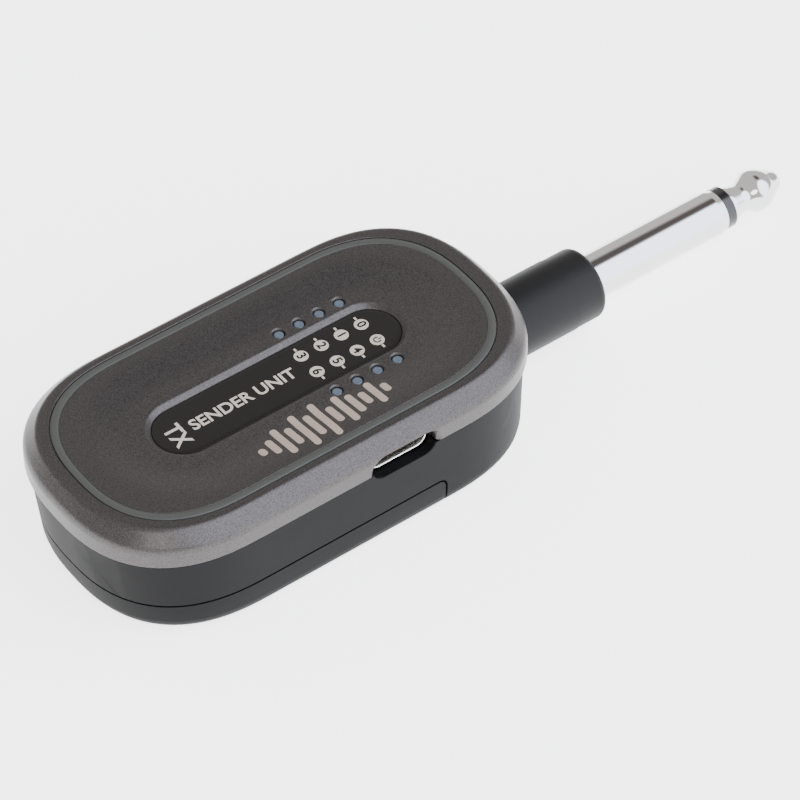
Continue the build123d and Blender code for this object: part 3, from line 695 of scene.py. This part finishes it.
def rim_stack(rims, closed=False):
    """Extrudes one rim after another; both ends are capped, or joined up in a closed ring."""
    rims = [[in_frame(point) for point in rim] for rim in rims]
    deselect_all()
    bpy.ops.mesh.primitive_circle_add(vertices=len(rims[0]), radius=1.0, location=(0.0, 0.0, 0.0))
    piece = bpy.context.object
    start = [vertex.co.copy() for vertex in piece.data.vertices]
    bpy.ops.object.mode_set(mode="EDIT")
    bpy.ops.mesh.select_all(action="SELECT")
    place_rim(piece, start, rims[0])
    if not closed:
        bpy.ops.mesh.edge_face_add()
    for old, new in zip(rims, rims[1:]):
        if closed:
            bpy.ops.mesh.extrude_edges_move()
        else:
            bpy.ops.mesh.extrude_region_move()
        place_rim(piece, old, new)
    if closed:
        bpy.ops.mesh.select_all(action="DESELECT")
        bpy.ops.mesh.select_non_manifold()
        bpy.ops.mesh.bridge_edge_loops()
    bpy.ops.mesh.select_all(action="SELECT")
    bpy.ops.mesh.normals_make_consistent(inside=False)
    bpy.ops.object.mode_set(mode="OBJECT")
    return piece


# ------------------------------------------------------------------ top shell and what sits in it

def light_places():
    return [(LIGHT_X + index * LIGHT_PITCH, side * LIGHT_ROW_Y) for side in (1, -1) for index in range(4)]


def dish_rims():
    """The valley round the badge: wide at the top, easing in and out on the way down."""
    for step in range(DISH_STEPS + 1):
        share = step / DISH_STEPS
        depth = DISH_DEPTH * share * share * (3 - 2 * share)
        yield pill(DISH_MOUTH[0] - DISH_RUN * share, DISH_MOUTH[1] - DISH_RUN * share, FACE_Z - depth)


def light_hole_cutter():
    """A flared drill: the hole's mouth is a small soft dish."""
    surface_z = FACE_Z - DISH_DEPTH
    throat_z = surface_z - HOLE_FLARE_DEPTH
    profile = [(HOLE_RADIUS, ROOF_Z - DRILL_PAST_ROOF), (HOLE_RADIUS, throat_z)]
    for step in range(1, 6):
        angle = radians(18.0 * step)
        radius = HOLE_RADIUS + HOLE_FLARE * (1 - cos(angle))
        profile.append((radius, throat_z + HOLE_FLARE_DEPTH * sin(angle)))
    profile.append((HOLE_RADIUS + HOLE_FLARE, surface_z + DRILL_PAST_FACE))
    return rim_stack([circle(radius, z, HOLE_POINTS) for radius, z in profile])


def usb_cutter():
    """The flared mouth of the charging socket, cut from outside to past the wall."""
    width, height = USB_THROAT
    return rim_stack([side_pill(USB_X, depth - HALF_WIDTH, USB_Z, width + flare,
                                height + flare * USB_MOUTH_RISE) for flare, depth in USB_MOUTH])


def make_top_shell():
    """Outer skin, stripe groove, valley and badge pocket in one run of rims, then drilled."""
    outside = eased([(SHELL_EDGE_BREAK, SHELL_EDGE_Z), (0.0, SHELL_EDGE_Z + SHELL_EDGE_BREAK),
                     (0.0, SKIRT_TOP_Z), (FACE_INSET, FACE_Z), (FACE_INSET + 1.0, FACE_Z)], CHAMFER_EASE, 6)
    groove_z = FACE_Z - GROOVE_DEPTH
    rims = [pill(*ROOF_MIDDLE, ROOF_Z), shell_rim(WALL, ROOF_Z), shell_rim(WALL, SHELL_EDGE_Z)]
    rims += [shell_rim(inset, z) for inset, z in outside[:-1]]
    rims += [stripe_rim(STRIPE_GAP + GROOVE_BREAK_OUTER, FACE_Z),
             stripe_rim(STRIPE_GAP, FACE_Z - GROOVE_BREAK_OUTER),
             stripe_rim(STRIPE_GAP, groove_z),
             stripe_rim(-STRIPE_WIDTH, groove_z),
             stripe_rim(-STRIPE_WIDTH, FACE_Z - GROOVE_BREAK_INNER),
             stripe_rim(-STRIPE_WIDTH - GROOVE_BREAK_INNER, FACE_Z)]
    rims += list(dish_rims())
    dish_z = FACE_Z - DISH_DEPTH
    lip, foot = BADGE_HALF_WIDTH + POCKET_FLARE, BADGE_HALF_WIDTH + POCKET_GAP
    pocket = eased([(lip + POCKET_LAND, dish_z), (lip, dish_z), (foot, BADGE_TOP_Z), (foot, BADGE_SEAT_Z)],
                   POCKET_EASE, 4)
    rims += [badge_rim(half_width, z) for half_width, z in pocket]
    shell = rim_stack(rims)
    cut(shell, spread(light_hole_cutter(), light_places()) + [usb_cutter()])
    settle(shell, "painted_top_shell", "housing", "paint", SHELL_ANGLE, "top_shell")
    even_shading(shell)
    return shell


def make_stripe():
    low, high = FACE_Z - GROOVE_DEPTH, FACE_Z - STRIPE_DROP
    rims = [stripe_rim(0.0, low), stripe_rim(0.0, high - STRIPE_BREAK), stripe_rim(-STRIPE_BREAK, high),
            stripe_rim(STRIPE_BREAK - STRIPE_WIDTH, high), stripe_rim(-STRIPE_WIDTH, high - STRIPE_BREAK),
            stripe_rim(-STRIPE_WIDTH, low)]
    stripe = rim_stack(rims, closed=True)
    settle(stripe, "stripe_inlay", "housing", "stripe", INSERT_ANGLE, "face_stripe")


def make_badge():
    profile = eased([(BADGE_HALF_WIDTH, BADGE_SEAT_Z), (BADGE_HALF_WIDTH, BADGE_TOP_Z),
                     (BADGE_HALF_WIDTH - BADGE_LAND, BADGE_TOP_Z)], BADGE_EASE, 3)
    badge = rim_stack([badge_rim(half_width, z) for half_width, z in profile])
    settle(badge, "gloss_badge", "housing", "badge", BADGE_ANGLE, "badge_plate")


def make_light_pipes(side, node_name):
    """Four frosted pins with crowned ends on their common bar."""
    levels = (PIPE_LOW.z, PIPE_BAR_TOP_Z)
    bar = rim_stack([pill(PIPE_BAR_HALF_LENGTH, PIPE_BAR_HALF_WIDTH, z) for z in levels])
    bars = spread(bar, [(LIGHT_ROW_X, side * LIGHT_ROW_Y)])
    crown = [circle(radius, PIPE_HIGH.z - drop, PIN_POINTS) for radius, drop in PIN_CROWN]
    pin = rim_stack([circle(PIN_CROWN[0][0], PIPE_BAR_TOP_Z - PIN_ROOT, PIN_POINTS)] + crown)
    pins = spread(pin, [place for place in light_places() if place[1] * side > 0])
    settle(joined(bars + pins), node_name + "_frosted", "housing", "acrylic", INSERT_ANGLE, node_name)


# ------------------------------------------------------------------ print

def ink_piece(piece, name, finish):
    """Gives a flat print its film thickness."""
    take_up(piece)
    bpy.ops.object.transform_apply(location=True, rotation=True, scale=True)
    film = piece.modifiers.new("film", "SOLIDIFY")
    film.thickness = INK * MM
    film.offset = 1.0
    bpy.ops.object.modifier_apply(modifier=film.name)
    settle(piece, name, "housing", finish, PRINT_ANGLE)


def lettering(text, x, y, z, height, turn, width=None):
    """Flat sans-serif letters centred on a point; turn is in degrees."""
    deselect_all()
    bpy.ops.object.text_add(location=in_frame((x, y, z)), rotation=(0.0, 0.0, radians(turn)))
    letters = bpy.context.object
    letters.data.body = text
    letters.data.align_x = "CENTER"
    letters.data.align_y = "CENTER"
    letters.data.size = height * MM / CAPITAL_SHARE
    letters.data.offset = STROKE_GAIN * height * MM
    letters.data.resolution_u = 6
    bpy.context.view_layer.update()
    if width:
        letters.scale.x = width * MM / letters.dimensions.x
    bpy.ops.object.convert(target="MESH")
    return bpy.context.object


def flat_disc(z, radius):
    deselect_all()
    bpy.ops.mesh.primitive_circle_add(vertices=48, radius=radius * MM, fill_type="NGON",
                                      location=in_frame((0.0, 0.0, z)))
    return bpy.context.object


def flat_bar(x, y, z, width, height, rounding=0.0):
    """A small printed bar with round ends where rounding is given."""
    deselect_all()
    bpy.ops.mesh.primitive_plane_add(size=1.0, location=in_frame((x, y, z)))
    bar = bpy.context.object
    bar.scale = (width * MM, height * MM, 1.0)
    bpy.ops.object.transform_apply(location=True, rotation=True, scale=True)
    if rounding:
        bpy.ops.object.mode_set(mode="EDIT")
        bpy.ops.mesh.select_all(action="SELECT")
        bpy.ops.mesh.bevel(offset=rounding * MM, segments=6, affect="VERTICES")
        bpy.ops.object.mode_set(mode="OBJECT")
    return bar


def power_symbol(x, y, z, radius):
    """An open ring with a bar in its gap, which faces the plug."""
    deselect_all()
    centre = in_frame((x, y, z))
    bpy.ops.mesh.primitive_circle_add(vertices=36, radius=radius * MM, location=centre)
    ring = bpy.context.object
    bpy.ops.object.mode_set(mode="EDIT")
    bpy.ops.mesh.select_all(action="DESELECT")
    mesh = bmesh.from_edit_mesh(ring.data)
    for vertex in mesh.verts:
        vertex.select = vertex.co.x > POWER_GAP_FROM * radius * MM
    bmesh.update_edit_mesh(ring.data)
    bpy.ops.mesh.delete(type="VERT")
    bpy.ops.mesh.select_all(action="SELECT")
    bpy.ops.mesh.extrude_edges_move()
    bpy.ops.transform.resize(value=(POWER_INNER, POWER_INNER, 1.0), center_override=centre)
    bpy.ops.object.mode_set(mode="OBJECT")
    reach, length, width = (share * radius for share in POWER_BAR)
    return joined([ring, flat_bar(x + reach, y, z, length, width)])


def make_badge_print():
    """Cream channel discs with dark figures, a tick to each light, and a plain word."""
    columns = [LIGHT_X + index * LIGHT_PITCH + FIGURE_SHIFT for index in range(4)]
    disc_places = [(x, side * DISC_ROW_Y) for side in (1, -1) for x in columns]
    tick_places = [(x, side * TICK_ROW_Y) for side in (1, -1) for x in columns]
    cream = spread(flat_disc(BADGE_PRINT_Z, DISC_RADIUS), disc_places)
    cream += spread(flat_bar(0.0, 0.0, BADGE_PRINT_Z, *TICK_SIZE), tick_places)
    cream.append(lettering("SENDER UNIT", *WORD_PLACE, BADGE_PRINT_Z, WORD_HEIGHT, 0.0, WORD_WIDTH))
    cream.append(lettering("TX", *LABEL_PLACE, BADGE_PRINT_Z, LABEL_HEIGHT, FIGURE_TURN, LABEL_WIDTH))
    figures = []
    for number, (x, y) in zip(FAR_NUMBERS + NEAR_NUMBERS, disc_places):
        figures.append(lettering(number, x, y, FIGURE_Z, FIGURE_HEIGHT, FIGURE_TURN))
    figures.append(power_symbol(*disc_places[-1], FIGURE_Z, POWER_RADIUS))
    ink_piece(joined(cream), "channel_print", "cream")
    ink_piece(joined(figures), "channel_figures", "badge")


def make_wave_mark(shell):
    """A plain sound wave beside the badge: round-ended bars that follow the valley's slope."""
    bars = []
    middle_x, middle_y = WAVE_PLACE
    for index, height in enumerate(WAVE_HEIGHTS):
        x = middle_x + (index - (len(WAVE_HEIGHTS) - 1) / 2) * WAVE_PITCH
        bars.append(flat_bar(x, middle_y, WAVE_START_Z, WAVE_BAR_WIDTH, height, WAVE_BAR_ROUNDING))
    mark = joined(bars)
    bpy.ops.object.mode_set(mode="EDIT")
    for step in range(1, WAVE_CUTS):
        line_y = middle_y - WAVE_REACH + step * 2 * WAVE_REACH / WAVE_CUTS
        bpy.ops.mesh.select_all(action="SELECT")
        bpy.ops.mesh.bisect(plane_co=in_frame((0.0, line_y, 0.0)), plane_no=(0.0, 1.0, 0.0))
    bpy.ops.object.mode_set(mode="OBJECT")
    wrap = mark.modifiers.new("wrap", "SHRINKWRAP")
    wrap.target = shell
    wrap.wrap_method = "PROJECT"
    wrap.use_project_z = True
    wrap.use_negative_direction = True
    wrap.use_positive_direction = False
    wrap.offset = WAVE_LIFT * MM
    bpy.ops.object.modifier_apply(modifier=wrap.name)
    ink_piece(mark, "wave_mark", "champagne")


make_lower_mouldings()
make_usb_shell()
make_plug()
top_shell = make_top_shell()
make_stripe()
make_badge()
make_light_pipes(1, "light_pipes_far")
make_light_pipes(-1, "light_pipes_near")
make_badge_print()
make_wave_mark(top_shell)


# ------------------------------------------------------------------ floor, light and camera

def make_stage():
    bpy.ops.mesh.primitive_plane_add(size=FLOOR_SIZE, location=(0.0, 0.0, cad_box[0][2] - FLOOR_DROP))
    floor = bpy.context.object
    floor.name = "studio_floor"
    plain = Finish("studio_paper")
    fibre = plain.noise(30.0, 2.0)
    floor.data.materials.append(plain.surface({
        "Base Color": plain.colours(fibre, (0.83, 0.83, 0.83), (0.85, 0.85, 0.85)), "Roughness": 0.9,
        "Emission Color": (1.0, 1.0, 1.0, 1.0), "Emission Strength": FLOOR_GLOW}))


def make_softbox():
    lamp = bpy.data.lights.new("left_softbox", "AREA")
    lamp.shape = "RECTANGLE"
    lamp.size, lamp.size_y = SOFTBOX_SIZE
    lamp.energy = SOFTBOX_POWER
    lamp.color = SOFTBOX_COLOUR
    holder = bpy.data.objects.new("left_softbox", lamp)
    holder.location = SOFTBOX_PLACE
    holder.rotation_euler = (SOFTBOX_AIM - SOFTBOX_PLACE).to_track_quat("-Z", "Y").to_euler()
    bpy.context.scene.collection.objects.link(holder)


def make_camera():
    back = Vector((sin(AZIMUTH) * cos(ELEVATION), -cos(AZIMUTH) * cos(ELEVATION), sin(ELEVATION)))
    lens = bpy.data.cameras.new("main_camera")
    lens.sensor_width = SENSOR_WIDTH
    lens.lens = LENS
    lens.clip_start = 0.01
    camera = bpy.data.objects.new("main_camera", lens)
    camera.location = AIM + back * DISTANCE
    camera.rotation_euler = (radians(90.0) - ELEVATION, 0.0, AZIMUTH)
    bpy.context.scene.collection.objects.link(camera)
    bpy.context.scene.camera = camera


class Patch:
    """A soft-edged disc in the sky: full inside one angle from its middle, gone beyond another."""

    def __init__(self, direction, full, gone, colour):
        self.direction = Vector(direction).normalized()
        self.full = cos(radians(full))
        self.gone = cos(radians(gone))
        self.colour = colour

    def over(self, sky, below):
        nearness = sky.node("ShaderNodeVectorMath", {"operation": "DOT_PRODUCT"},
                            {0: sky.place, 1: self.direction}, output="Value")
        share = ((nearness - self.gone) / (self.full - self.gone)).kept_between(0.0, 1.0)
        return sky.colours(share, below, self.colour)


NEAR_SIDE_LIGHT = Patch((0.42, -0.70, 0.58), 36.0, 46.0, (4.6, 4.85, 5.5))
OVERHEAD_FLAG = Patch((0.42, 0.22, 0.88), 9.0, 23.0, (0.17, 0.15, 0.14))


def make_world():
    """A pale studio with a broad soft light on the near side and a dark flag overhead."""
    world = bpy.data.worlds.new("studio")
    bpy.context.scene.world = world
    sky = Graph(world, "Generated")
    lit = NEAR_SIDE_LIGHT.over(sky, SKY_PALE)
    background = sky.tree.nodes["Background"]
    sky.feed(background.inputs["Color"], OVERHEAD_FLAG.over(sky, lit))
    sky.feed(background.inputs["Strength"], 1.0)


make_stage()
make_world()
make_softbox()
make_camera()
